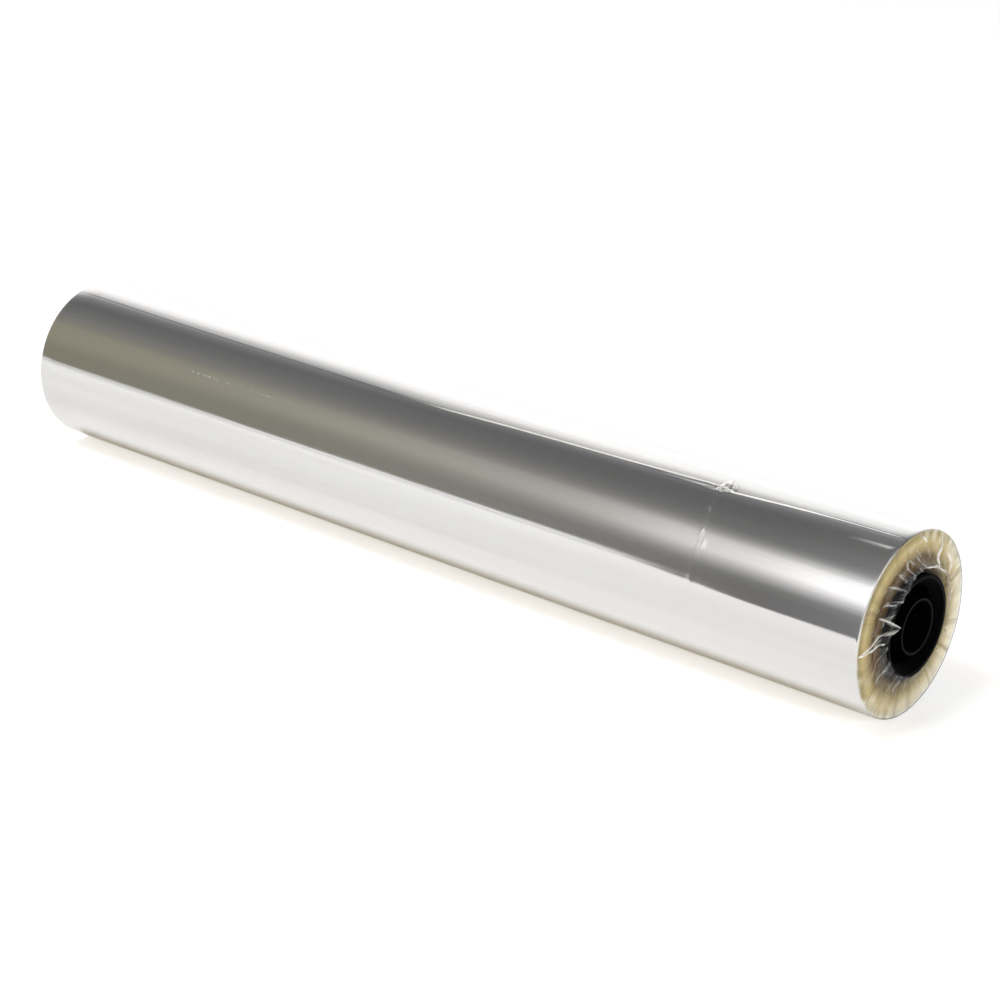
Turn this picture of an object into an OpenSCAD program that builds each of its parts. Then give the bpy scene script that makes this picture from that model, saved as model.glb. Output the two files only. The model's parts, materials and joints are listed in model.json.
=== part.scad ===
// Roll of clear stretch film on a black plastic core, with an open plug in each end of the core
// and a shrunk clear overwrap that is gathered round both ends.
// The roll lies on its side: its axis runs along X, and the floor is z = 0.

/* [Film roll] */
// Width of the film, which is the length of the wound roll
film_width = 500; // [400:10:800]
// Outside diameter of the wound film
film_roll_d = 82; // [70:1:140]
// Width of the small flat that the soft roll lies on
flat_w = 8; // [5:1:12]
// Bands of turns that show as fine steps on each end face
turn_bands = 14; // [6:1:20]
// Furthest that a band of turns stands in from the end face
turn_step = 0.3; // [0.1:0.05:0.6]
// Radius that winding leaves on the outer edge of each end face
film_edge_r = 0.8; // [0.4:0.1:1.5]

/* [Core] */
// Bore of the core
core_bore = 38; // [32:1:50]
// Wall of the core
core_wall = 4; // [3:0.5:6]
// How far each end of the core stands out of the film
core_proud = 1; // [0.5:0.1:2]
// Chamfer on the core's cut edges
core_chamfer = 0.4; // [0.2:0.1:0.8]
// Radial gap between the core and the first turn of film
core_gap = 0.05; // [0.02:0.01:0.1]

/* [End plugs] */
// Thickness of the flange that seats on the end of the core
flange_t = 2.2; // [1.6:0.1:3.5]
// How far the flange's rim stands in from the outside of the core
flange_inset = 0.3; // [0.1:0.1:1]
// Radius of the rounding on the flange's front rim
rim_r = 0.5; // [0.3:0.1:0.8]
// Width of the flat lip on the front of the flange
lip_w = 1.2; // [0.8:0.1:2]
// Length of the spigot inside the core
spigot_len = 24; // [18:1:40]
// Wall of the spigot
spigot_wall = 1.8; // [1.2:0.1:2.5]
// Radial gap between the spigot and the bore of the core
spigot_gap = 0.15; // [0.1:0.01:0.3]
// Number of crush ribs that hold the spigot in the bore
crush_ribs = 8; // [4:1:12]
// Gap that is left outside each crush rib
rib_gap = 0.03; // [0.02:0.01:0.05]
// Depth of the ring-shaped well between the hub and the spigot
well_depth = 12; // [6:1:15]
// Thickness of the floor of the well
well_floor_t = 1.8; // [1.2:0.1:2.5]
// Bore of the hub, which takes the spindle of a dispenser
hub_bore = 22; // [16:1:24]
// Wall of the hub
hub_wall = 1.4; // [1:0.1:2]
// Chamfer inside the mouth of the hub
hub_chamfer = 0.4; // [0.2:0.1:0.6]

/* [Shrink wrap] */
// Thickness of the overwrap
wrap_t = 0.2; // [0.15:0.05:0.4]
// Smallest gap between the film and the overwrap
wrap_gap = 0.05; // [0.03:0.01:0.2]
// Gap between the core and the nearest point of the gathered opening
opening_gap = 0.4; // [0.3:0.1:1]
// How much further out the gathered opening reaches in its notches
opening_notch = 1.8; // [0.6:0.1:3]
// How far the gathers bulge from the end face where they meet the opening
gather_rise = 1.1; // [0.5:0.1:2]
// Height of the pleats at the opening
pleat_h = 1.7; // [0.5:0.1:2]
// Number of pleats round each end
pleats = 26; // [16:2:36]
// How far the gathered film laps over the plug's flange on one side of the opening
lap_reach = 2.6; // [0:0.1:4]
// Angle at the middle of that lap
lap_angle = 295; // [240:5:330]
// How far one fold of the right end reaches over the plug like a tongue
tongue_reach = 6; // [0:0.5:8]
// Angle of that fold
tongue_angle = 163; // [140:1:190]
// Gap between the flange and the film that laps over it
lap_gap = 0.3; // [0.2:0.05:0.6]
// Angle of the sealed seam where it comes furthest forward, from the back over the top
seam_angle = 109; // [85:1:120]
// Place of that bend along the roll, from the middle
seam_bend_x = 5; // [-20:5:60]
// Angle by which the seam leans back over one width of the film, to the right of the bend
seam_lean_right = 24; // [0:1:26]
// Angle by which it leans back over one width of the film, to the left of the bend
seam_lean_left = 11; // [0:1:26]
// Height of the seam's bead
seam_h = 0.45; // [0.3:0.05:0.8]
// Half the width of the seam's bead
seam_half_w = 0.4; // [0.3:0.05:0.8]
// Distance of the round crease in the sleeve from the right end face
crease_from_end = 85; // [40:5:120]
// Height of the round crease
crease_h = 0.35; // [0.2:0.05:0.6]
// Half the width of the round crease
crease_half_w = 2; // [1:0.5:4]
// How much higher the bead stands where the round crease pinches the seam
pinch_h = 1.2; // [0:0.1:2]

/* [Hidden] */

$fn = 96;
film_r = film_roll_d / 2;
film_end = film_width / 2;
core_r = core_bore / 2 + core_wall;
core_end = film_end + core_proud;
flange_r = core_r - flange_inset;
spigot_r = core_bore / 2 - spigot_gap;
well_r = spigot_r - spigot_wall;
hub_r = hub_bore / 2 + hub_wall;
rib_r = 0.6;
// How far the crush ribs stop short of both ends of the spigot.
rib_margin = 2.5;
// Angle from one band of turns to the next, in the wave that sets how far in each of them lies.
band_wave_a = 137.5;
left_band_a = 70;
// Half of the widest angle that a facet of the wrap spans, with the seam's lean.
facet_half_a = 4.5;
wrap_inner_r = (film_r + wrap_gap) / cos(facet_half_a);
wrap_outer_r = wrap_inner_r + wrap_t;
axis_z = sqrt(pow(wrap_outer_r, 2) - pow(flat_w / 2, 2));
film_flat_z = wrap_t + wrap_gap;
opening_r = core_r + opening_gap;
lap_x = core_end + flange_t + lap_gap;

// Turns what is drawn about Z so that it lies along the axis of the roll.
module on_axis() translate([0, 0, axis_z]) rotate([0, 90, 0]) children();

// Core: an extruded tube, cut square and deburred.
module core_tube() {
    bore_r = core_bore / 2;
    color([0.03, 0.03, 0.035])
        on_axis()
            rotate_extrude()
                polygon([
                    [bore_r, core_chamfer - core_end], [bore_r + core_chamfer, -core_end],
                    [core_r - core_chamfer, -core_end], [core_r, core_chamfer - core_end],
                    [core_r, core_end - core_chamfer], [core_r - core_chamfer, core_end],
                    [bore_r + core_chamfer, core_end], [bore_r, core_end - core_chamfer]
                ]);
}

// Film: every turn is wound into one solid, and the slit edges show as fine steps on its ends.
function band_r(i) = core_r + core_gap
    + (film_r - film_edge_r - core_r - core_gap) * i / turn_bands;
function band_in(i, phase) = turn_step * (0.5 - 0.5 * sin(i * band_wave_a + phase));
function end_steps(phase) = [
    for (i = [0 : turn_bands - 1]) each [
        [band_r(i), film_end - band_in(i, phase)],
        [band_r(i + 1), film_end - band_in(i, phase)]
    ]
];
function edge_arc() = [
    for (a = [72 : -18 : 0])
        [film_r - film_edge_r * (1 - cos(a)), film_end - turn_step - film_edge_r * (1 - sin(a))]
];
function reversed(list) = [for (i = [len(list) - 1 : -1 : 0]) list[i]];

module film_roll() {
    right = concat(end_steps(0), edge_arc());
    left = [for (p = concat(end_steps(left_band_a), edge_arc())) [p[0], -p[1]]];
    color([0.86, 0.82, 0.68])
        difference() {
            on_axis() rotate_extrude() polygon(concat(right, reversed(left)));
            translate([-film_width, -film_r, film_flat_z - film_roll_d])
                cube([2 * film_width, film_roll_d, film_roll_d]);
        }
}

// End plug: a moulded cup whose flange seats on the end of the core, with an open hub on the axis.
module plug_profile() {
    lip_r = flange_r - rim_r - lip_w;
    slope = lip_r - well_r;
    // flange and spigot, with the sloping mouth of the well
    polygon([
        [well_r, -spigot_len], [spigot_r, -spigot_len], [spigot_r, 0], [flange_r, 0],
        [flange_r, flange_t - rim_r], [flange_r - rim_r, flange_t - rim_r],
        [flange_r - rim_r, flange_t], [lip_r, flange_t], [well_r, flange_t - slope]
    ]);
    translate([flange_r - rim_r, flange_t - rim_r]) circle(rim_r);
    // floor of the well
    translate([hub_r - hub_wall / 2, -well_depth - well_floor_t])
        square([well_r - hub_r + hub_wall / 2 + spigot_wall / 2, well_floor_t]);
    // hub
    polygon([
        [hub_bore / 2, -spigot_len], [hub_r, -spigot_len], [hub_r, flange_t],
        [hub_bore / 2 + hub_chamfer, flange_t], [hub_bore / 2, flange_t - hub_chamfer]
    ]);
}

module end_plug() {
    on_axis()
        translate([0, 0, core_end]) {
            rotate_extrude() plug_profile();
            for (i = [0 : crush_ribs - 1])
                rotate(i * 360 / crush_ribs)
                    translate([core_bore / 2 - rib_gap - rib_r, 0, rib_margin - spigot_len])
                        cylinder(r = rib_r, h = spigot_len - 2 * rib_margin);
        }
}

module end_plug_right() color([0.02, 0.02, 0.022]) end_plug();

module end_plug_left() color([0.02, 0.02, 0.022]) mirror([1, 0, 0]) end_plug();

// Shrink wrap: one thin skin from opening to opening. It is drawn as columns that run along the
// roll, at angles from the back over the top and the front, and as stations from end to end.
column_pitch = 3.75;
flat_half_a = asin(flat_w / 2 / wrap_outer_r);
seam_half_a = atan(seam_half_w / wrap_outer_r);
function even_steps(from, to) = let (n = ceil((to - from) / column_pitch))
    [for (i = [1 : n]) from + (to - from) * i / n];
column_a = concat(
    [seam_angle, seam_angle + seam_half_a],
    even_steps(seam_angle + seam_half_a, 270 - flat_half_a),
    even_steps(270 - flat_half_a, 270 + flat_half_a),
    even_steps(270 + flat_half_a, seam_angle - seam_half_a + 360)
);

// Degrees between two angles, the short way round.
function apart(a, b) = abs(((a - b) % 360 + 540) % 360 - 180);
function within(share) = min(1, max(0, share));

// Columns near the seam lean back with it on both sides of its bend.
seam_fade_a = 90;
function lean(a, x) = -(x > seam_bend_x ? seam_lean_right : seam_lean_left)
    * abs(x - seam_bend_x) / film_width * within(1 - apart(a, seam_angle) / seam_fade_a);

// A pleat has a sharp crest and a round valley. They crowd together in places, and no two stand
// equally high.
pleat_drift_a = 35;
pleat_uneven = 0.28;
function pleat(a, phase) = (1 - abs(sin(pleats / 2 * a + pleat_drift_a * sin(3 * a + phase))))
    * (1 - pleat_uneven + pleat_uneven * sin(5 * a + phase));
// The opening runs in short straight chords between its notches.
notches = 9;
notch_drift_a = 70;
function notch(a, phase) = 0.5 - 0.5 * cos(notches * a + notch_drift_a * sin(2 * a + phase));
// The round crease shows from the top down the front, and fades out below and behind.
crease_top_a = 90;
crease_low_a = 210;
function crease(a) = a > crease_top_a && a < crease_low_a
    ? crease_h * sin(180 * (a - crease_top_a) / (crease_low_a - crease_top_a))
    : 0;

// The lap and the tongue, each as the degrees that an angle lies inside it. The film climbs over
// the rim of the flange just before it reaches in.
lap_half_a = 90;
lap_ramp_a = 35;
tongue_half_a = 8;
climb_a = 12;
function in_lap(a, phase) = lap_half_a - apart(a, lap_angle + phase);
function in_tongue(a) = tongue_half_a - apart(a, tongue_angle);
function climb(a, phase, tongue) = within(1 + max(
    lap_reach > 0 ? in_lap(a, phase) : -climb_a,
    tongue > 0 ? in_tongue(a) : -climb_a) / climb_a);
function reach_in(a, phase, tongue) = lap_reach * within(in_lap(a, phase) / lap_ramp_a)
    + tongue * within(in_tongue(a) / tongue_half_a);

// A ring is one station: a list of [x, radius, angle], with the seam's crest first.
function ring(x, r, bead, crest) = [
    for (i = [0 : len(column_a) - 1])
        [x, r + (i == 0 ? bead : 0) + crest * crease(column_a[i]), column_a[i]]
];
function mirrored(rings) = [for (ring = reversed(rings)) [for (p = ring) [-p[0], p[1], p[2]]]];

// End face, in shares of the way in from the roll's edge to the opening.
left_phase = 110;
right_phase = 0;
face_shares = [0.25, 0.5, 0.72, 0.88, 1];
face_outer_r = film_r - film_edge_r;
function face_x(share, a, phase) = film_end + wrap_inner_r - film_r + gather_rise * pow(share, 2)
    + pleat_h * share * pleat(a, phase);
function face_r(share, a, phase) = share < 1
    ? face_outer_r - (face_outer_r - opening_r - opening_notch) * share
    : opening_r + opening_notch * notch(a, phase);
function face_rings(side, phase, tongue) = [
    for (share = face_shares) [
        for (a = column_a)
            let (
                x = face_x(share, a, phase),
                climb = share < 1 ? 0 : climb(a, phase, tongue)
            )
            [
                x + side * wrap_t + climb * max(0, lap_x - x),
                face_r(share, a, phase) + side * wrap_t * climb,
                a
            ]
    ]
];

// Lip of the opening, which turns in a little all round and laps over the flange in places.
lip_turn = 0.3;
lip_pleat_h = 0.5;
function lip_ring(side, phase, tongue) = [
    for (a = column_a)
        let (
            x = face_x(1, a, phase),
            lapped_x = lap_x + lip_pleat_h * pleat(a, phase)
        )
        [
            x + side * wrap_t + climb(a, phase, tongue) * max(0, lapped_x - x),
            face_r(1, a, phase) - lip_turn - reach_in(a, phase, tongue),
            a
        ]
];
function end_rings(side, phase, tongue) = concat(
    face_rings(side, phase, tongue),
    [lip_ring(side, phase, tongue)]
);

// Corner between the sleeve and the end face, in two chords that clear the film's edge.
function corner_rings(side) = [
    for (k = [0 : 2])
        let (
            inner_reach = film_edge_r + wrap_inner_r - film_r,
            reach = (inner_reach + side * wrap_t) / (k == 1 ? cos(22.5) : 1)
        )
        ring(film_end - film_edge_r + reach * sin(45 * k), face_outer_r + reach * cos(45 * k),
            side * seam_h * cos(45 * k), 0)
];

// Sleeve, with the round crease near its right end.
crease_x = film_end - crease_from_end;
function sleeve_rings(side) = [
    for (stop = [
        [-film_width / 3, 0], [-film_width / 6, 0], [seam_bend_x, 0],
        [(seam_bend_x + crease_x) / 2, 0],
        [crease_x - crease_half_w, 0], [crease_x, 1], [crease_x + crease_half_w, 0]
    ])
        ring(stop[0], wrap_inner_r + side * wrap_t, side * (seam_h + stop[1] * pinch_h), stop[1])
];
function skin(side) = concat(
    mirrored(concat(corner_rings(side), end_rings(side, left_phase, 0))),
    sleeve_rings(side),
    corner_rings(side),
    end_rings(side, right_phase, tongue_reach)
);

// A point from [x, radius, angle], kept above the flat that the roll lies on.
function placed(p, floor_z) = let (a = p[2] + lean(p[2], p[0]))
    [p[0], p[1] * cos(a), max(floor_z, axis_z + p[1] * sin(a))];

module shrink_wrap() {
    inner = skin(0);
    outer = skin(1);
    rings = concat(outer, reversed(inner));
    columns = len(column_a);
    outer_rings = len(outer);
    points = [
        for (j = [0 : len(rings) - 1]) for (p = rings[j])
            placed(p, j < outer_rings ? 0 : wrap_t)
    ];
    color([0.93, 0.94, 0.96, 0.35])
        polyhedron(
            points = points,
            faces = [
                for (j = [0 : len(rings) - 1]) for (i = [0 : columns - 1])
                    let (
                        k = (j + 1) % len(rings),
                        n = (i + 1) % columns,
                        p = j * columns + i,
                        q = j * columns + n,
                        r = k * columns + n,
                        s = k * columns + i
                    )
                    each [[p, q, r], [p, r, s]]
            ]
        );
}

core_tube();
film_roll();
end_plug_right();
end_plug_left();
shrink_wrap();
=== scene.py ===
"""A roll of clear stretch film in its shrunk overwrap, lying on its side.

The roll lies along X, and the photo shows the end at +X. An angle round the roll runs from the back (0)
over the top (90) to the front (180) and the floor (270), as in the part's source.
"""
import json
import math

import bmesh
import bpy
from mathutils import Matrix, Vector, noise


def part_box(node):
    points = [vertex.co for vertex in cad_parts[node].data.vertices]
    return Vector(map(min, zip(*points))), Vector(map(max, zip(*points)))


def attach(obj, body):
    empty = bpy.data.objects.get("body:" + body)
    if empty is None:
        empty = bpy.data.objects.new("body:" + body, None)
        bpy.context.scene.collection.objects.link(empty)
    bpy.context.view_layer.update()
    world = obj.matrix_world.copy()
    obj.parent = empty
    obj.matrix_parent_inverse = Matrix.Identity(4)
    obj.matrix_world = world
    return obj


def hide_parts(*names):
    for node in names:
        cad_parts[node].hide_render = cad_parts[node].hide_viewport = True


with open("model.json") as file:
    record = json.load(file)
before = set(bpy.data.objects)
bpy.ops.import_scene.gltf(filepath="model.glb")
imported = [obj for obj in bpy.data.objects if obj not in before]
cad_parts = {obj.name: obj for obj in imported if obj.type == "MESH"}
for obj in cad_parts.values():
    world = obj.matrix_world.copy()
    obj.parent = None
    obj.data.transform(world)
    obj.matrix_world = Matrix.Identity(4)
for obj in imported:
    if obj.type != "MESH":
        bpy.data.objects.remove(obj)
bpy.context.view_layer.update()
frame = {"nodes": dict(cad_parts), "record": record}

# Camera: a long lens from the front right, as far off as the taper of the roll in the photo tells.
axis_z = frame["record"]["mounts"][0]["pos_m"][2]
scene = bpy.context.scene
camera = bpy.data.objects.new("camera", bpy.data.cameras.new("camera"))
scene.collection.objects.link(camera)
scene.camera = camera
camera.data.sensor_width = 36
camera.data.lens = 89.79
camera.location = (0.71819, -0.81608, axis_z + 0.45338)
camera_yaw = math.radians(40.222)
camera_dip = math.radians(23.239)
camera.rotation_euler = (math.radians(90) - camera_dip, 0, camera_yaw)
scene.view_settings.view_transform = "Standard"


# Studio: a white table that ends 0.44 m in front of the roll, where the glossy turns show its edge, with
# white walls behind it, a dark ceiling, and a soft box at the front right that shows as a broad highlight.
# A high lamp puts the roll's shadow under it, and another lights its near end. To the camera, the studio
# is plain white and the table is paler than it is.
def shader_node(tree, kind, inputs=(), **settings):
    """Add a node. An input is given by its name or number, as a value or as another node's output."""
    made = tree.nodes.new(kind if kind.startswith("NodeGroup") else "ShaderNode" + kind)
    for name, value in settings.items():
        setattr(made, name, value)
    for name, value in dict(inputs).items():
        if isinstance(value, bpy.types.NodeSocket):
            tree.links.new(value, made.inputs[name])
        else:
            made.inputs[name].default_value = value
    return made


def math_node(tree, operation, *values, clamp=False):
    """The result of one sum on values or sockets."""
    made = shader_node(tree, "Math", enumerate(values), operation=operation, use_clamp=clamp)
    return made.outputs[0]


def ramp_node(tree, share, stops):
    """A colour that goes through the stops, each a place from 0 to 1 and a grey or an RGB colour."""
    made = shader_node(tree, "ValToRGB", {"Fac": share})
    points = made.color_ramp.elements
    while len(points) < len(stops):
        points.new(1)
    for point, (place, colour) in zip(points, stops):
        point.position = place
        point.color = (*colour, 1) if isinstance(colour, tuple) else (colour, colour, colour, 1)
    return made.outputs["Color"]


def mix_node(tree, share, first, second, blend="MIX"):
    """Two colours mixed by a share."""
    made = shader_node(tree, "Mix", data_type="RGBA", blend_type=blend)
    for place, value in ((0, share), (6, first), (7, second)):
        if isinstance(value, bpy.types.NodeSocket):
            tree.links.new(value, made.inputs[place])
        elif isinstance(value, tuple):
            made.inputs[place].default_value = (*value, 1)
        elif place == 0:
            made.inputs[place].default_value = value
        else:
            made.inputs[place].default_value = (value, value, value, 1)
    return made.outputs[2]


def new_material(name):
    """A material with an empty node tree and its output."""
    made = bpy.data.materials.new(name)
    made.use_nodes = True
    made.node_tree.nodes.clear()
    return made, made.node_tree, shader_node(made.node_tree, "OutputMaterial")


def degrees_share(*stops):
    """Stops of a ramp over half a turn, given in degrees."""
    return [(angle / 180, colour) for angle, colour in stops]


world = bpy.data.worlds.new("studio")
scene.world = world
world.use_nodes = True
sky = world.node_tree
sky.nodes.clear()
way = shader_node(sky, "SeparateXYZ", {0: shader_node(sky, "TexCoord").outputs["Generated"]}).outputs
height = math_node(sky, "ABSOLUTE", way["Z"])
turn_share = math_node(sky, "DIVIDE", math_node(sky, "ARCTAN2", height, way["Y"]), math.pi, clamp=True)
reach = math_node(sky, "ADD", way["X"], 1)

# The white walls stand lower on the right, and the studio is dark past the roll's near end.
wall_drop = ramp_node(sky, reach, [
    (place, degrees / 180) for place, degrees in (
        (0.28, 1.5), (0.33, 0.3), (0.36, 0.0), (0.40, 2.0), (0.44, 5.0), (0.469, 8.0), (0.50, 11.0),
        (0.532, 15.0))])
walls = ramp_node(sky, math_node(sky, "ADD", turn_share, wall_drop), degrees_share(
    (0, 1.35), (39, 1.35), (43, 1.32), (47.3, 1.22), (51.2, 1.02), (55.2, 0.80), (59.2, 0.61), (63.2, 0.42),
    (67.2, (0.25, 0.25, 0.26)), (71.2, (0.205, 0.205, 0.215)), (75.2, (0.176, 0.176, 0.187)),
    (79.2, (0.151, 0.151, 0.16)), (83.2, (0.143, 0.143, 0.148)), (91, 0.15), (99, 0.167), (107, 0.193),
    (115, 0.215), (125, 0.225), (165, 0.23), (180, 0.235)))
wall_level = ramp_node(sky, reach, [(0.40, 1.0), (0.469, 0.93), (0.54, 0.86)])
ceiling_level = ramp_node(sky, reach, [
    (0.28, 0.94), (0.33, 0.92), (0.385, 0.83), (0.45, 0.76), (0.50, 0.73), (0.515, 0.82), (0.54, 0.97)])
front_level = ramp_node(sky, reach, [
    (0.28, 1.10), (0.40, 1.04), (0.46, 0.90), (0.485, 0.72), (0.50, 0.66), (0.515, 0.75), (0.54, 0.95)])
box_glow = ramp_node(sky, turn_share, degrees_share(
    (104, 0.0), (109, 0.03), (116.7, 0.22), (124.9, 0.78), (132.5, 0.98), (141.4, 1.08), (149.4, 0.60),
    (157.4, 0.17), (163, 0.03), (170, 0.0)))
box_reach = ramp_node(sky, reach, [
    (0.27, 0.065), (0.33, 0.095), (0.385, 0.16), (0.402, 0.185), (0.418, 0.22), (0.439, 0.32),
    (0.4555, 0.46), (0.469, 0.66), (0.485, 0.70), (0.50, 0.86), (0.514, 1.16), (0.527, 1.25), (0.54, 1.4)])
olive = ramp_node(sky, reach, [
    (0.27, (1.0, 0.97, 0.72)), (0.36, (1.0, 0.98, 0.82)), (0.45, (1.0, 0.985, 0.95)),
    (0.54, (1.0, 1.0, 1.02))])
is_wall_top = ramp_node(sky, turn_share, degrees_share((16, 0.0), (28, 1.0)))
is_ceiling = ramp_node(sky, turn_share, degrees_share((60, 0.0), (71, 1.0)))
past_top = math_node(sky, "SUBTRACT", turn_share, 0.56)
is_front = math_node(sky, "MULTIPLY", past_top, 8, clamp=True)
back_level = mix_node(sky, is_ceiling, mix_node(sky, is_wall_top, 1.0, wall_level), ceiling_level)
level = mix_node(sky, is_front, back_level, front_level)
glow = mix_node(sky, 1.0, box_glow, box_reach, "MULTIPLY")
lit = mix_node(sky, 1.0, mix_node(sky, 1.0, walls, level, "MULTIPLY"), glow, "ADD")
tinted = mix_node(sky, is_front, lit, mix_node(sky, 1.0, lit, olive, "MULTIPLY"))

# A pale strip shows low down at the front, just over the table's edge, on the left half.
low_down = ramp_node(sky, turn_share, degrees_share((177.2, 0.0), (178.2, 1.0)))
on_left = ramp_node(sky, reach, [(0.28, 0.6), (0.34, 1.0), (0.44, 1.0), (0.47, 0.0)])
with_strip = mix_node(sky, mix_node(sky, 1.0, low_down, on_left, "MULTIPLY"), tinted, 1.05)
past_near_end = ramp_node(sky, way["X"], [(0.05, 1.0), (0.35, 0.2)])
studio = mix_node(sky, 1.0, with_strip, past_near_end, "MULTIPLY")
seen = shader_node(sky, "LightPath").outputs["Is Camera Ray"]
backdrop = shader_node(sky, "Background", {"Color": mix_node(sky, seen, studio, (1.0, 1.0, 1.0))})
sky.links.new(backdrop.outputs[0], shader_node(sky, "OutputWorld").inputs["Surface"])

# The table is matt, and a share of white glows in it: for the camera, and in the gloss behind the roll and
# far off, where the lamps don't reach.
table_corners = ((14, -0.44), (-0.04, -0.44), (-7.1, -10.2), (-20, -2), (-20, 16), (14, 16))
mesh = bpy.data.meshes.new("table")
bm = bmesh.new()
bm.faces.new([bm.verts.new((x, y, 0)) for x, y in reversed(table_corners)])
bm.to_mesh(mesh)
bm.free()
table = bpy.data.objects.new("table", mesh)
scene.collection.objects.link(table)
table_paint, tree, output = new_material("white_table")
path = shader_node(tree, "LightPath").outputs
place = shader_node(tree, "TexCoord").outputs["Object"]
back_way = shader_node(tree, "SeparateXYZ", {0: place}).outputs["Y"]
at_back = ramp_node(tree, back_way, [(0.03, 0.0), (0.08, 0.6)])
distance = shader_node(tree, "VectorMath", {0: place}, operation="LENGTH").outputs["Value"]
far_off = ramp_node(tree, math_node(tree, "MULTIPLY", distance, 0.125), [
    (0.03, 0.0), (0.12, 0.07), (0.25, 0.20), (0.4, 0.33), (1.0, 0.45)])
white_in_gloss = mix_node(tree, 1.0, at_back, far_off, "LIGHTEN")
gloss_share = mix_node(tree, path["Is Glossy Ray"], 0.0, white_in_gloss)
white_share = math_node(tree, "MULTIPLY_ADD", path["Is Camera Ray"], 0.34, gloss_share)
matt = shader_node(tree, "BsdfDiffuse", {"Color": (0.93, 0.93, 0.925, 1)})
table_glow = shader_node(tree, "Emission", {"Strength": 1.6})
table_skin = shader_node(tree, "MixShader", {0: white_share, 1: matt.outputs[0], 2: table_glow.outputs[0]})
tree.links.new(table_skin.outputs[0], output.inputs["Surface"])
mesh.materials.append(table_paint)


def soft_lamp(name, place, target, size, watts):
    """A square lamp that lights the roll and its shadow but doesn't show in the glossy turns."""
    made = bpy.data.objects.new(name, bpy.data.lights.new(name, "AREA"))
    made.data.size = size
    made.data.energy = watts
    made.location = place
    made.rotation_euler = (Vector(target) - Vector(place)).to_track_quat("-Z", "Y").to_euler()
    made.visible_glossy = False
    scene.collection.objects.link(made)


soft_lamp("lamp_top", (-0.45, -1.00, 2.50), (0, 0, 0.04), 0.9, 49)
soft_lamp("lamp_end", (2.20, -0.50, 0.95), (0.25, 0, 0.04), 0.6, 24)


# Core: an extruded tube of black polyethylene, cut square at both ends and deburred. It is inside the
# film, so only a thin ring of its end shows round the plug, with the fine lines that the die leaves on it.
def node_group(name, inputs, outputs):
    """An empty group of nodes, with its inputs and outputs, each a name and a kind of socket."""
    made = bpy.data.node_groups.new(name, "ShaderNodeTree")
    for label, kind in inputs:
        made.interface.new_socket(label, in_out="INPUT", socket_type="NodeSocket" + kind)
    for label, kind in outputs:
        made.interface.new_socket(label, in_out="OUTPUT", socket_type="NodeSocket" + kind)
    return made, shader_node(made, "NodeGroupInput").outputs, shader_node(made, "NodeGroupOutput")


grain, given, result = node_group(
    "plastic_grain", (("Vector", "Vector"), ("Scale", "Float"), ("Height", "Float")),
    (("Normal", "Vector"),))
speckle = shader_node(grain, "TexNoise", {
    "Vector": given["Vector"], "Scale": given["Scale"], "Detail": 4.0})
grain_bump = shader_node(grain, "Bump", {
    "Height": speckle.outputs["Fac"], "Strength": 0.2, "Distance": given["Height"]})
grain.links.new(grain_bump.outputs[0], result.inputs["Normal"])

core_low, core_high = (Vector(corner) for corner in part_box("core_tube"))
core_r = (core_high.z - core_low.z) / 2
core_plastic, tree, output = new_material("extruded_black_plastic")
place = shader_node(tree, "TexCoord").outputs["Object"]
along = shader_node(tree, "Mapping", {"Vector": place, "Scale": (0.05, 1.0, 1.0)}).outputs[0]
die_lines = shader_node(tree, "TexNoise", {"Vector": along, "Scale": 900.0, "Detail": 3.0}).outputs["Fac"]
core_grain = shader_node(tree, "Group", {
    "Vector": along, "Scale": 700.0, "Height": 0.0002}, node_tree=grain)
core_black = ramp_node(tree, die_lines, [(0.3, (0.002, 0.002, 0.002)), (0.75, (0.006, 0.0055, 0.006))])
core_skin = shader_node(tree, "BsdfPrincipled", {
    "Base Color": core_black,
    "Roughness": ramp_node(tree, die_lines, [(0.3, 0.36), (0.7, 0.5)]),
    "Specular IOR Level": 0.06,
    "Normal": core_grain.outputs[0],
})
tree.links.new(core_skin.outputs[0], output.inputs["Surface"])
for piece_slot in frame["nodes"]["core_tube"].material_slots:
    piece_slot.material = core_plastic


# End plugs: moulded black plastic cups pushed into the core until the flange seats on its end. The mould
# leaves a fine satin on the faces, and the rims of the hub and the flange are painted a little brighter, as
# a highlight of their edges.
flange_r = core_r - 0.0003
hub_r = 0.0124
rim_w = 0.0004


def from_the_axis(tree, place):
    """A place's offset from the roll's axis, square to it, and how long that is."""
    offset = shader_node(tree, "Mapping", {"Vector": place, "Location": (0, 0, -axis_z), "Scale": (0, 1, 1)})
    length = shader_node(tree, "VectorMath", {0: offset.outputs[0]}, operation="LENGTH")
    return offset.outputs[0], length.outputs["Value"]


plug_plastic, tree, output = new_material("moulded_black_plastic")
place = shader_node(tree, "TexCoord").outputs["Object"]
radius = from_the_axis(tree, place)[1]
satin = shader_node(tree, "TexNoise", {"Vector": place, "Scale": 420.0, "Detail": 5.0}).outputs["Fac"]
cloud = shader_node(tree, "TexNoise", {"Vector": place, "Scale": 60.0, "Detail": 2.0}).outputs["Fac"]


def rim_stops(r, strength):
    """Stops of a ramp over the flange's radius that pick out one narrow ring."""
    ring = ((r - 2 * rim_w, 0.0), (r - rim_w, strength), (r, strength), (r + rim_w, 0.0))
    return [(place / flange_r, share) for place, share in ring]


# The hub's rim and the flange's rim are painted brighter, as a highlight.
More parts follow.
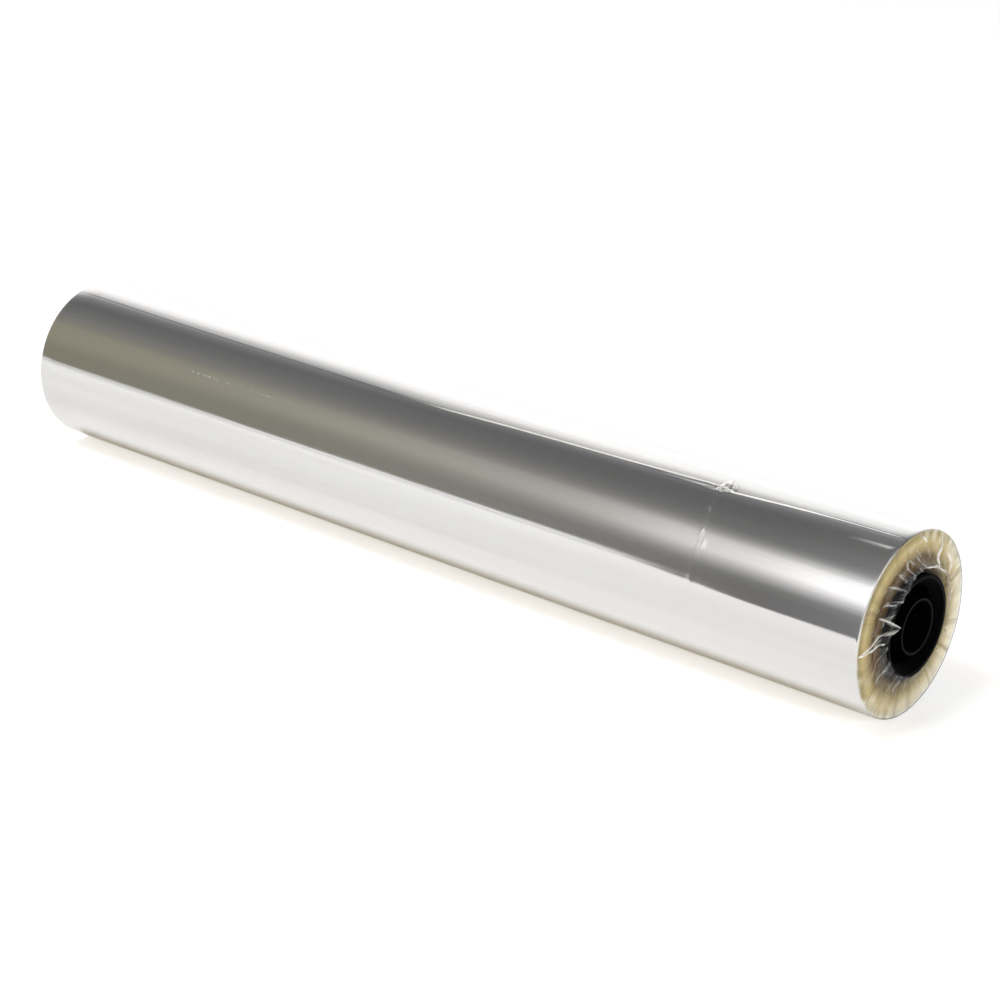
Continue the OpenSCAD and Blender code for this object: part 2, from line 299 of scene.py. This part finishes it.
painted_rim_highlight = ramp_node(
    tree, math_node(tree, "MULTIPLY", radius, 1 / flange_r),
    rim_stops(hub_r - rim_w, 1.0) + rim_stops(flange_r - 3 * rim_w, 1.0))
satin_black = ramp_node(tree, satin, [(0.3, (0.0012, 0.0012, 0.0014)), (0.8, (0.0026, 0.0026, 0.0028))])
plug_black = mix_node(tree, painted_rim_highlight, satin_black, (0.011, 0.011, 0.0115))
plug_grain = shader_node(tree, "Group", {
    "Vector": place, "Scale": 900.0, "Height": 0.0001}, node_tree=grain)
plug_skin = shader_node(tree, "BsdfPrincipled", {
    "Base Color": plug_black,
    "Roughness": ramp_node(tree, cloud, [(0.3, 0.45), (0.7, 0.6)]),
    "Specular IOR Level": 0.008,
    "Normal": plug_grain.outputs[0],
})
tree.links.new(plug_skin.outputs[0], output.inputs["Surface"])
for name in ("end_plug_right", "end_plug_left"):
    for piece_slot in frame["nodes"][name].material_slots:
        piece_slot.material = plug_plastic


# Wound film: about a thousand turns of clear film, wound hard on the core, so that its side mirrors like
# polished metal. The slit edges of the turns make its ends, cream and lined with fine rings, with painted
# shade that turns them amber and dark towards the core. The soft roll is flat for a few millimetres
# where it lies.
film_low, film_high = (Vector(corner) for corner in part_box("film_roll"))
film_end = film_high.x
film_r = film_high.z - axis_z
film_bore_r = core_r + 0.00005
film_edge_r = 0.0008
side_columns = 512
end_bands = 36
band_step = 0.00016


def new_piece(name, bm, material, node):
    """Make a bmesh an object that stands for a node, with smooth faces."""
    mesh = bpy.data.meshes.new(name)
    for face in bm.faces:
        face.smooth = True
    bm.to_mesh(mesh)
    bm.free()
    mesh.materials.append(material)
    made = bpy.data.objects.new(name, mesh)
    scene.collection.objects.link(made)
    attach(made, "root")
    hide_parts(node)
    return made


def angle_of(co):
    """The angle of a point round the roll, in degrees from 0 to 360."""
    return math.degrees(math.atan2(co.z - axis_z, co.y)) % 360


def spin_profile(profile, columns, closed):
    """Turn a profile of places along the roll and radii once round the roll's axis."""
    bm = bmesh.new()
    points = [bm.verts.new((x, r, axis_z)) for x, r in profile]
    edges = [bm.edges.new(pair) for pair in zip(points, points[1:])]
    if closed:
        edges.append(bm.edges.new((points[-1], points[0])))
    bmesh.ops.spin(
        bm, geom=points + edges, cent=(0, 0, axis_z), axis=(1, 0, 0), dvec=(0, 0, 0),
        angle=2 * math.pi, steps=columns, use_merge=True)
    bmesh.ops.remove_doubles(bm, verts=bm.verts, dist=1e-7)
    return bm


def end_face(side):
    """Points of an end face, from the core out, with bands of turns that wound a little further in."""
    points = []
    for i in range(end_bands + 1):
        r = film_bore_r + (film_r - film_edge_r - film_bore_r) * i / end_bands
        step = band_step * (0.5 + 0.5 * math.sin(i * 2.4 + side)) if 0 < i < end_bands else 0
        points.append((side * (film_end - step), r))
    return points


def film_profile():
    """The section of the wound film: the right end, the side and the left end."""
    edge = [
        (film_end - film_edge_r * (1 - math.cos(math.radians(a))),
         film_r - film_edge_r * (1 - math.sin(math.radians(a))))
        for a in (22.5, 45, 67.5, 90)
    ]
    far_edge = [(-x, r) for x, r in reversed(edge)]
    flank = [(film_end * share, film_r) for share in (0.8, 0.5, 0.2, -0.2, -0.5, -0.8)]
    return end_face(1) + edge + flank + far_edge + list(reversed(end_face(-1)))


bm = spin_profile(film_profile(), side_columns, closed=True)
for vert in bm.verts:
    vert.co.z = max(vert.co.z, film_low.z)
bmesh.ops.recalc_face_normals(bm, faces=bm.faces)

# Marks that stretching leaves in film: long soft streaks and fine lines, which run along the roll.
stretch_marks, given, result = node_group(
    "stretch_marks", (("Vector", "Vector"),), (("Streaks", "Float"), ("Fine", "Float"), ("Tint", "Color")))
streak_way = shader_node(stretch_marks, "Mapping", {"Vector": given["Vector"], "Scale": (0.35, 22.0, 22.0)})
streaks = shader_node(stretch_marks, "TexNoise", {
    "Vector": streak_way.outputs[0], "Scale": 3.0, "Detail": 3.0})
fine_way = shader_node(stretch_marks, "Mapping", {"Vector": given["Vector"], "Scale": (1.0, 90.0, 90.0)})
fine = shader_node(stretch_marks, "TexNoise", {
    "Vector": fine_way.outputs[0], "Scale": 6.0, "Detail": 4.0})
streak_tint = ramp_node(stretch_marks, streaks.outputs["Fac"], [
    (0.35, (0.825, 0.81, 0.795)), (0.5, (0.88, 0.875, 0.865)), (0.65, (0.84, 0.825, 0.815))])
stretch_marks.links.new(streaks.outputs["Fac"], result.inputs["Streaks"])
stretch_marks.links.new(fine.outputs["Fac"], result.inputs["Fine"])
stretch_marks.links.new(streak_tint, result.inputs["Tint"])

film_side, tree, output = new_material("wound_film")
place = shader_node(tree, "TexCoord").outputs["Object"]
along_axis = shader_node(tree, "SeparateXYZ", {0: place}).outputs["X"]
offset, radius = from_the_axis(tree, place)
film_depth = film_r - film_bore_r
depth = math_node(tree, "MULTIPLY_ADD", radius, 1 / film_depth, -film_bore_r / film_depth)
stretched = shader_node(tree, "Group", {"Vector": place}, node_tree=stretch_marks).outputs
turn_place = shader_node(tree, "CombineXYZ", {0: math_node(tree, "MULTIPLY", depth, 60.0)}).outputs[0]
turn_lines = shader_node(tree, "TexNoise", {
    "Vector": turn_place, "Scale": 3.0, "Detail": 6.0}).outputs["Fac"]
patches = shader_node(tree, "TexNoise", {"Vector": place, "Scale": 160.0, "Detail": 2.0}).outputs["Fac"]

# The slit edges of the turns are cream, in streaks along the radius. Light and shade are painted into
# their colour: darker and amber towards the core and on the upper front side, and paler at the rim. Dark
# amber blotches near the core there are painted shadow.
# Both ramps are painted darker towards the core, as shade under the lip. The lighter one is painted pale at
# the rim, as light through the edge.
end_tone_with_painted_light = ramp_node(tree, depth, [
    (0.0, (0.02, 0.014, 0.009)), (0.084, (0.05, 0.038, 0.027)), (0.22, (0.22, 0.18, 0.11)),
    (0.36, (0.34, 0.28, 0.145)), (0.54, (0.58, 0.49, 0.29)), (0.725, (0.83, 0.76, 0.56)),
    (0.86, (0.86, 0.80, 0.62)), (0.93, (0.91, 0.88, 0.77)), (1.0, (0.96, 0.95, 0.92))])
end_tone_painted_shaded = ramp_node(tree, depth, [
    (0.0, (0.03, 0.018, 0.008)), (0.1, (0.09, 0.068, 0.04)), (0.22, (0.17, 0.13, 0.075)),
    (0.36, (0.11, 0.076, 0.037)), (0.54, (0.42, 0.32, 0.15)), (0.725, (0.60, 0.485, 0.24)),
    (0.91, (0.38, 0.31, 0.145)), (1.0, (0.48, 0.41, 0.23))])
outward = shader_node(tree, "VectorMath", {0: offset}, operation="NORMALIZE").outputs[0]
streak_place = shader_node(tree, "Mapping", {"Vector": outward, "Scale": (1.0, 7.0, 7.0)}).outputs[0]
radial = shader_node(tree, "TexNoise", {
    "Vector": streak_place, "Scale": 1.0, "Detail": 5.0, "Roughness": 0.65}).outputs["Fac"]
front_way = (0, -0.766, 0.643)
up_front = shader_node(tree, "VectorMath", {
    0: outward, 1: front_way}, operation="DOT_PRODUCT").outputs["Value"]
mottle = math_node(tree, "MULTIPLY_ADD", patches, 1.7, math_node(tree, "MULTIPLY", radial, 2.6))
# Painted shade: the upper front side of each end is given the darker ramp, in patches.
painted_shade_mask = math_node(tree, "MULTIPLY_ADD", up_front, 0.6, math_node(tree, "SUBTRACT", mottle, 1.8))
painted_shade_share = ramp_node(tree, painted_shade_mask, [(0.0, 0.0), (0.75, 1.0)])
ray_shade = ramp_node(tree, radial, [(0.33, (0.52, 0.46, 0.34)), (0.47, 0.93), (0.64, 1.08)])
# Painted shadow: dark amber blotches near the core, on the upper front side.
shadow_blotch_place = shader_node(tree, "Mapping", {"Vector": place, "Location": (0.0, 0.031, 0.0)}).outputs[0]
shadow_blotches = shader_node(tree, "TexNoise", {
    "Vector": shadow_blotch_place, "Scale": 330.0, "Detail": 1.0}).outputs["Fac"]
shadow_blotch_ring = ramp_node(tree, depth, [(0.04, 0.0), (0.14, 1.0), (0.36, 0.9), (0.52, 0.0)])
shadow_blotch_side = ramp_node(tree, up_front, [(0.1, 0.0), (0.7, 1.0)])
shadow_blotch_zone = mix_node(tree, 1.0, shadow_blotch_ring, shadow_blotch_side, "MULTIPLY")
shadow_blotch_marks = ramp_node(tree, shadow_blotches, [(0.53, 0.0), (0.58, 0.9)])
shadow_blotch_share = mix_node(tree, 1.0, shadow_blotch_zone, shadow_blotch_marks, "MULTIPLY")
line_shade = ramp_node(tree, turn_lines, [(0.3, 0.90), (0.7, 1.0)])
shade = mix_node(tree, 1.0, ray_shade, line_shade, "MULTIPLY")
slit_edges = mix_node(tree, 1.0, mix_node(tree, painted_shade_share, end_tone_with_painted_light, end_tone_painted_shaded), shade, "MULTIPLY")
end_colour = mix_node(tree, shadow_blotch_share, slit_edges, (0.09, 0.038, 0.008))

# The side's mirror finish gives way to the slit edges over the rounded corner.
end_start = film_end - 0.0011
end_change = 0.0007
from_end = math_node(tree, "SUBTRACT", math_node(tree, "ABSOLUTE", along_axis), end_start)
is_end = math_node(tree, "MULTIPLY", from_end, 1 / end_change, clamp=True)
film_bump = shader_node(tree, "Bump", {
    "Height": mix_node(tree, is_end, stretched["Fine"], turn_lines), "Strength": 0.12, "Distance": 0.0002})
side_gloss = ramp_node(tree, stretched["Streaks"], [(0.3, 0.07), (0.7, 0.11)])
film_skin = shader_node(tree, "BsdfPrincipled", {
    "Base Color": mix_node(tree, is_end, stretched["Tint"], end_colour),
    "Metallic": math_node(tree, "MULTIPLY_ADD", is_end, -0.97, 0.97),
    "Roughness": mix_node(tree, is_end, side_gloss, (0.45, 0.45, 0.45)),
    "Specular IOR Level": 0.02,
    "Normal": film_bump.outputs[0],
})

# Some light gets through the roll, amber, so its shadow where it lies isn't black.
amber_light = shader_node(tree, "BsdfTransparent", {"Color": (0.47, 0.41, 0.29, 1)})
casts_shadow = shader_node(tree, "LightPath").outputs["Is Shadow Ray"]
film_or_light = shader_node(tree, "MixShader", {
    0: casts_shadow, 1: film_skin.outputs[0], 2: amber_light.outputs[0]})
tree.links.new(film_or_light.outputs[0], output.inputs["Surface"])
wound_film = new_piece("wound_film", bm, film_side, "film_roll")


# Overwrap: a tube of thin clear shrink film, lap-sealed along the roll and shrunk tight with hot air. Its
# ends close over the slit edges of the turns and gather round the plugs into an open ring, where the film
# is folded on itself, cloudy and crumpled. It creased where it was pinched at the seam.
wrap_r = film_r + 0.00028
corner_r = 0.0014
corner_x = film_end - 0.0010
corner_start = 25
face_x = corner_x + corner_r * math.cos(math.radians(corner_start))
face_outer_r = wrap_r - corner_r + corner_r * math.sin(math.radians(corner_start))
opening_r = 0.0244
flange_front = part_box("end_plug_right")[1][0]
flange_clear_r = 0.0230
flange_gap = 0.00025
pillow_rise = 0.0017
pillow_at_lip = 0.00094
wrap_columns = 400
pleats = 26

# Path of the lap seal, as places along the roll in metres and angles. It fades out of the lie of the
# film a quarter of a turn away.
seam_path = (
    (-0.251, 105.1), (-0.145, 107.7), (-0.040, 109.5), (0.005, 110.7), (0.050, 108.1), (0.119, 105.2),
    (0.132, 104.5), (0.147, 103.5), (0.158, 103.2), (0.167, 105.4), (0.184, 103.7), (0.195, 102.4),
    (0.219, 100.4), (0.251, 99.3),
)
seam_angle = 109
seam_fade = 90
seam_rise = 0.00045
seam_lap_angle = 18
seam_drop_angle = 0.5

# Lip of the right opening: angle, radius, and height over the film's end, in millimetres. The film laps
# over the plug's flange on the lower side, and one fold reaches over it like a tongue. The left lip is
# hidden in the photo and more even.
right_lip = (
    (5, 24.2, 2.5), (18, 24.8, 2.4), (32, 25.5, 2.6), (42, 26.0, 2.7), (63, 24.8, 3.0), (76, 25.5, 3.0),
    (94, 26.0, 3.1), (104, 25.8, 3.2), (115, 24.9, 3.4), (124, 22.8, 3.7), (136, 22.7, 3.7),
    (143, 23.7, 3.5), (155, 24.6, 3.5), (158.5, 25.0, 3.5), (161.5, 20.0, 3.8), (163.6, 16.4, 3.9),
    (169, 20.3, 3.8), (174, 23.6, 3.6), (181, 24.6, 3.5), (193, 24.3, 3.5), (205, 22.8, 3.6),
    (224, 22.4, 3.7), (242, 21.3, 3.8), (259, 21.6, 3.8), (284, 21.3, 3.8), (292, 21.3, 3.8),
    (319, 22.1, 3.8), (330, 22.2, 3.8), (350, 22.3, 3.6),
)
left_lip = tuple(
    (a, 23.0 + 1.2 * math.sin(math.radians(a + 40)) + 0.5 * math.sin(math.radians(5 * a)), 3.7)
    for a in range(0, 360, 13)
)

# Creases of the right end and of the sleeve: start and end, half width and height in millimetres, and
# how white the crease is painted, as a highlight of its fold. A place on the end is an angle and a radius,
# and one on the sleeve is millimetres along the roll and an angle.
end_creases = (
    ((68, 41.2), (67, 27.0), 0.55, 1.2, 1.0), ((67.5, 35.5), (65, 26.3), 1.3, 1.0, 1.0),
    ((97, 41.6), (89, 36.5), 0.5, 0.5, 1.0), ((181, 40.6), (171.5, 28.4), 0.42, 0.8, 1.0),
    ((181, 40.6), (178, 26.0), 0.42, 0.8, 1.0),
    ((53, 34.2), (40, 33.0), 0.6, 0.5, 0.6), ((40, 33.0), (28, 29.4), 0.6, 0.5, 0.4),
    ((94, 26.6), (61, 27.3), 0.45, 0.4, 0.7), ((68, 26.2), (42, 27.4), 0.5, 0.5, 0.7),
    ((117, 35.2), (113, 26.0), 0.6, 0.8, 0.4), ((104, 33.0), (92, 27.0), 0.7, 0.7, 0.2),
    ((127, 33.0), (121, 26.0), 0.6, 0.7, 0.25), ((138, 34.5), (129, 25.5), 0.6, 0.8, 0.3),
    ((150, 33.0), (144, 25.0), 0.7, 0.8, 0.3), ((158, 32.0), (163, 18.0), 0.8, 1.0, 0.55),
    ((172, 30.0), (166, 19.0), 0.6, 0.6, 0.45), ((208, 33.0), (203, 24.0), 0.7, 0.7, 0.25),
    ((214, 31.0), (205, 25.0), 0.5, 0.6, 0.25), ((232, 30.0), (226, 23.0), 0.5, 0.6, 0.2),
    ((243, 31.0), (238, 23.0), 0.5, 0.6, 0.25), ((262, 30.5), (254, 22.5), 0.5, 0.6, 0.25),
    ((281, 31.0), (275, 22.5), 0.5, 0.5, 0.25), ((300, 31.0), (293, 22.5), 0.5, 0.6, 0.3),
    ((318, 30.0), (313, 23.0), 0.5, 0.5, 0.3), ((339, 31.0), (335, 23.5), 0.6, 0.5, 0.3),
    ((12, 32.0), (7, 25.0), 0.6, 0.5, 0.3), ((26, 33.0), (22, 26.0), 0.5, 0.5, 0.3),
)
sleeve_creases = (
    ((162.0, 95.8), (159.8, 107.6), 0.8, 1.3, 0.7), ((162.0, 95.8), (166.9, 104.4), 0.8, 1.2, 0.8),
    ((159.8, 107.6), (166.9, 104.4), 0.7, 0.8, 0.55), ((162.4, 98.0), (163.2, 106.0), 1.5, 0.9, 0.35),
    ((131.0, 103.6), (159.8, 107.6), 0.6, 0.30, 0.7), ((161.0, 108.5), (162.4, 121.0), 1.3, 0.05, 0.02),
    ((162.2, 120.5), (162.9, 124.0), 0.8, 0.10, 0.22), ((162.6, 122.0), (164.6, 134.0), 1.8, 0.03, 0.02),
    ((165.2, 134.0), (164.2, 147.5), 0.42, 0.05, 0.55), ((166.4, 138.0), (166.0, 147.0), 0.35, 0.03, 0.35),
    ((167.8, 140.0), (168.2, 149.0), 0.4, 0.04, 0.45), ((165.8, 146.0), (166.2, 188.0), 2.2, 0.018, 0.02),
    ((223.9, 107.4), (245.0, 107.0), 0.4, 0.10, 0.15), ((226.6, 111.4), (247.1, 110.3), 0.4, 0.12, 0.5),
)


def smooth(low, high, value):
    """0 at low and before it, 1 at high and past it, and a smooth change between them."""
    share = min(1, max(0, (value - low) / (high - low)))
    return share * share * (3 - 2 * share)


def apart(a, b):
    """Degrees from one angle forward or back to another, the short way round."""
    return (a - b + 180) % 360 - 180


def seam_at(x):
    """Angle of the seam at a place along the roll."""
    for (start, a), (end, b) in zip(seam_path, seam_path[1:]):
        if x <= end:
            return a + (b - a) * max(0, (x - start) / (end - start))
    return seam_path[-1][1]


def drawn_to_seam(angle):
    """Columns crowd together at the seam, so that its narrow step has enough of them."""
    crowd_reach = 15
    off = apart(angle, seam_angle)
    if abs(off) > crowd_reach:
        return angle
    return seam_angle + off * (0.3 + 0.7 * (off / crowd_reach) ** 2)


def lip_at(angle, side):
    """Radius of the opening and the height of its lip, in metres. It runs in straight chords."""
    lip = right_lip if side > 0 else left_lip
    for (a, r, rise), (b, s, next_rise) in zip(lip, lip[1:] + lip[:1]):
        span = (b - a) % 360
        into = (angle - a) % 360
        if into <= span:
            break
    sweep = math.sin(math.radians(span))
    chord = r * s * sweep / (r * math.sin(math.radians(into)) + s * math.sin(math.radians(span - into)))
    jag = 0.3 * noise.noise(Vector((angle * 0.35, side * 7.0, 1.0)))
    return (chord + jag) / 1000, (rise + (next_rise - rise) * into / span) / 1000


def on_face(angle, r):
    """A place on the end face as a flat point, in millimetres."""
    return Vector((r * math.cos(math.radians(angle)), r * math.sin(math.radians(angle))))


def on_sleeve(x, angle):
    """A place on the sleeve as a point of the sleeve laid flat, in millimetres."""
    return Vector((x, math.radians(angle) * wrap_r * 1000))


def ridge(point, start, end, half_width):
    """How near a point is to a crease, from 0 beside it to 1 on its crest."""
    run = end - start
    share = min(1, max(0, (point - start).dot(run) / run.length_squared))
    off = (point - start - run * share).length
    taper = 1 - 0.75 * abs(2 * share - 1) ** 3
    return max(0, 1 - off / (half_width * taper)) ** 1.3


def creased(point, creases):
    """Height in metres and whiteness, a painted highlight, of the creases at a point."""
    height = 0.0
    white = 0.0
    for start, end, half_width, tall, whiteness in creases:
        near = ridge(point, start, end, half_width)
        height = max(height, near * tall / 1000)
        white = max(white, near * whiteness)
    return height, white


face_lines = [(on_face(*start), on_face(*end), *rest) for start, end, *rest in end_creases]
sleeve_lines = [(on_sleeve(*start), on_sleeve(*end), *rest) for start, end, *rest in sleeve_creases]


def end_shape(angle, r, share, side, lip_rise):
    """Height of the film over the roll's end, in metres, and how white its pleat crests and creases are
    painted, as highlights.

    It swells like a pillow inside the corner, climbs to the lip and is pleated on the way.
    """
    rad = math.radians(angle)
    phase = 0 if side > 0 else 110
    twist = 26 * share * side
    pillow = pillow_rise * (1 - (1 - min(1, share / 0.4)) ** 2) * (1 - 0.45 * smooth(0.4, 0.75, share))
    climb = (lip_rise - pillow_at_lip) * smooth(0.64, 1.0, share)
    coarse = 0.35 + 0.65 * smooth(110, 50, abs(apart(angle, 130)))
    wave = abs(math.sin(math.radians(pleats / 2 * (angle + twist) + 35 * math.sin(3 * rad + phase))))
    fine = abs(math.sin(math.radians(41 * (angle + 1.4 * twist) + 80 * math.sin(5 * rad + phase))))
    crumple = noise.noise(Vector((r * 260 * math.cos(rad), r * 260 * math.sin(rad), side * 3.0)))
    crumple_fine = noise.noise(Vector((r * 700 * math.cos(rad), r * 700 * math.sin(rad), side * 5.0)))
    strength = smooth(0.15, 0.95, share)
    hair = abs(math.sin(math.radians(67 * (angle + 0.8 * twist) + 130 * math.sin(3 * rad + phase))))
    height = pillow + climb + strength * (0.0008 * coarse * (1 - wave) + 0.0003 * (1 - fine))
    height += strength * (0.0006 * crumple + 0.0003 * crumple_fine)
    # The pleat crests and fine pleat lines are painted white, as highlights.
    white = max(
        0.24 * smooth(0.08, 0.65, share) * coarse * max(0, 1 - 4.5 * wave) * (0.55 + crumple),
        0.06 * smooth(0.1, 0.35, share) * smooth(1.0, 0.7, share) * max(0, 1 - 4 * hair) * (0.5 + crumple))
    if side > 0:
        crease_height, crease_highlight_white = creased(on_face(angle, r * 1000), face_lines)
        height += crease_height
        white = max(white, crease_highlight_white)
    return height, white


def seam_shape(x, off):
    """Height of the lap seal, and the white of a highlight painted along its edge, by the degrees that a
    column lies past its edge.
    """
    tall = seam_rise * (0.12 + 0.88 * smooth(-0.06, 0.02, x))
    if off < 0:
        rise = tall * max(0, 1 + off / seam_lap_angle)
    else:
        rise = tall * max(0, 1 - off / seam_drop_angle)
    # The white line along the seam's right half is a painted highlight.
    lit = smooth(-0.01, 0.02, x) * smooth(0.222, 0.205, x)
    return rise, 0.9 * lit * max(0, 1 - abs(off) / seam_drop_angle)


def face_stations(count):
    """Places and radii from the opening out to the corner, closer together at the opening."""
    return [(face_x, opening_r + (face_outer_r - opening_r) * (i / count) ** 1.3) for i in range(count)]


corner = [
    (corner_x + corner_r * math.cos(math.radians(a)),
     wrap_r - corner_r + corner_r * math.sin(math.radians(a)))
    for a in (corner_start, 36, 48, 61, 75, 90)
]
even_shares = (0.9945, 0.985, 0.965, 0.945, 0.925, 0.905, 0.87, 0.82, 0.77, 0.72)
even_stations = [film_end * share for share in even_shares]
crease_stations = [0.001 * x for x in range(172, 156, -1)]
far_stations = [0.001 * x for x in range(152, -248, -13)]
sleeve = [(x, wrap_r) for x in even_stations + crease_stations + far_stations]
left_end = [(-x, r) for x, r in reversed(face_stations(20) + corner)]
bm = spin_profile(face_stations(30) + corner + sleeve + left_end, wrap_columns, closed=False)
haze_layer = bm.verts.layers.float.new("haze")
white_layer = bm.verts.layers.float.new("white")
sleeve_layer = bm.verts.layers.float.new("sleeve")
floor_gap = 0.00004
for vert in bm.verts:
    x = vert.co.x
    side = 1 if x > 0 else -1
    r = math.hypot(vert.co.y, vert.co.z - axis_z)
    angle = drawn_to_seam(angle_of(vert.co)) % 360
    seam_turn = (seam_at(x) - seam_angle) * max(0, 1 - abs(apart(angle, seam_angle)) / seam_fade)
    cloudiness = 0.0
    on_corner = 90
    if abs(x) > corner_x:
        on_corner = math.degrees(math.atan2(r - wrap_r + corner_r, abs(x) - corner_x))
    if r < face_outer_r - 0.000001:
        share = (face_outer_r - r) / (face_outer_r - opening_r)
        lip_r, lip_rise = lip_at(angle, side)
        r = face_outer_r - (face_outer_r - lip_r) * share
        height, whiteness = end_shape(angle, r, share, side, lip_rise)
        out = face_x + height
        if r < flange_clear_r:
            out = max(out, flange_front + flange_gap)
        x = side * out
        patch = 0.5 + 0.5 * noise.noise(Vector((angle * 0.06, r * 400, side * 2.0)))
        cloudiness = smooth(0.45, 1.0, share) * (0.3 + 0.7 * patch)
        on_corner = 0
    else:
        rise, whiteness = seam_shape(x, apart(angle, seam_angle))
        r += rise * smooth(film_end, film_end - 0.003, abs(x))
        # The sleeve's creases lie near its right end, at the top and the front.
        if x > 0.12 and 80 < angle < 200:
            crease_height, crease_highlight_white = creased(on_sleeve(x * 1000, angle + seam_turn), sleeve_lines)
            r += crease_height
            whiteness = max(whiteness, crease_highlight_white)
        # The near rim is painted white at the upper front, as a highlight of its corner.
        if x > 0 and 40 < on_corner < 70:
            whiteness = max(whiteness, 0.55 * smooth(112, 130, angle) * smooth(185, 165, angle))
    turned = math.radians(angle + seam_turn)
    vert.co = (x, r * math.cos(turned), max(floor_gap, axis_z + r * math.sin(turned)))
    vert[haze_layer] = cloudiness
    vert[white_layer] = whiteness
    vert[sleeve_layer] = smooth(corner_start, 62, on_corner)
bmesh.ops.recalc_face_normals(bm, faces=bm.faces)

wrap_film, tree, output = new_material("shrunk_clear_film")
place = shader_node(tree, "TexCoord").outputs["Object"]
haze = shader_node(tree, "Attribute", attribute_name="haze").outputs["Fac"]
white = shader_node(tree, "Attribute", attribute_name="white").outputs["Fac"]
on_sleeve_share = shader_node(tree, "Attribute", attribute_name="sleeve").outputs["Fac"]
stretched = shader_node(tree, "Group", {"Vector": place}, node_tree=stretch_marks).outputs
folds = shader_node(tree, "TexNoise", {"Vector": place, "Scale": 240.0, "Detail": 4.0}).outputs["Fac"]
patchy = ramp_node(tree, folds, [(0.35, 0.45), (0.65, 1.0)])
cloudy = mix_node(tree, 1.0, haze, patchy, "MULTIPLY")

# The clear film on the ends shows only its gloss, which is strong where it curves away.
edge_on = shader_node(tree, "LayerWeight", {"Blend": 0.5}).outputs["Facing"]
gloss = math_node(tree, "MULTIPLY_ADD", math_node(tree, "POWER", edge_on, 5.0), 0.10, 0.004)
veil = math_node(tree, "MULTIPLY_ADD", math_node(tree, "POWER", cloudy, 2.0), 0.15, gloss)
end_alpha = math_node(tree, "MULTIPLY_ADD", white, 0.95, veil, clamp=True)
sleeve_alpha = math_node(tree, "MULTIPLY_ADD", white, 0.2, 0.8, clamp=True)
clear_for_shadow = math_node(tree, "SUBTRACT", 1.0, shader_node(tree, "LightPath").outputs["Is Shadow Ray"])
wrap_alpha = math_node(
    tree, "MULTIPLY", mix_node(tree, on_sleeve_share, end_alpha, sleeve_alpha), clear_for_shadow)

# A dotted row of white specks on the front of the sleeve, on its left half, painted as glints of tiny
# ripples.
xyz = shader_node(tree, "SeparateXYZ", {0: place}).outputs
row_angle = 140.6
row_middle = -0.107
row_reach = 0.040
above_axis = math_node(tree, "SUBTRACT", xyz["Z"], axis_z)
before_axis = math_node(tree, "MULTIPLY", xyz["Y"], -1.0)
turn = math_node(tree, "ARCTAN2", above_axis, before_axis)
off_row = math_node(tree, "ABSOLUTE", math_node(tree, "SUBTRACT", turn, math.radians(180 - row_angle)))
near_row = math_node(tree, "SUBTRACT", 1.0, math_node(tree, "MULTIPLY", off_row, 90.0), clamp=True)
along_row = math_node(tree, "ABSOLUTE", math_node(tree, "SUBTRACT", xyz["X"], row_middle))
in_row = math_node(tree, "LESS_THAN", along_row, row_reach)
glint_speck_noise = shader_node(tree, "TexNoise", {"Vector": place, "Scale": 620.0, "Detail": 0.0}).outputs["Fac"]
glint_specks = ramp_node(tree, glint_speck_noise, [(0.58, 0.0), (0.70, 1.0)])
row = mix_node(tree, 1.0, math_node(tree, "MULTIPLY", near_row, in_row), glint_specks, "MULTIPLY")
# The whites of creases, crests, seam, rim and specks are painted highlights. The film is made white and
# diffuse there.
painted_highlight_white = math_node(tree, "ADD", white, math_node(tree, "MULTIPLY", row, 0.45), clamp=True)

dulled = math_node(tree, "ADD", painted_highlight_white, math_node(tree, "MULTIPLY", haze, 0.6), clamp=True)
sleeve_relief = math_node(tree, "MULTIPLY", stretched["Fine"], 0.10)
relief = shader_node(tree, "Bump", {
    "Height": mix_node(tree, on_sleeve_share, cloudy, sleeve_relief), "Strength": 0.35, "Distance": 0.0006})
clear_colour = mix_node(tree, on_sleeve_share, (0.97, 0.975, 0.98), stretched["Tint"])
streaked = math_node(tree, "MULTIPLY_ADD", stretched["Streaks"], 0.06, 0.04)
wrap_skin = shader_node(tree, "BsdfPrincipled", {
    "Base Color": mix_node(tree, dulled, clear_colour, (0.93, 0.90, 0.84)),
    "Metallic": math_node(tree, "MULTIPLY_ADD", dulled, -0.97, 0.97),
    "Roughness": math_node(tree, "MULTIPLY_ADD", dulled, 0.25, streaked),
    "Alpha": wrap_alpha,
    "Normal": relief.outputs[0],
})
tree.links.new(wrap_skin.outputs[0], output.inputs["Surface"])
overwrap = new_piece("overwrap", bm, wrap_film, "shrink_wrap")
wrap_wall = overwrap.modifiers.new("wall", "SOLIDIFY")
wrap_wall.thickness = 0.00008
wrap_wall.offset = 1
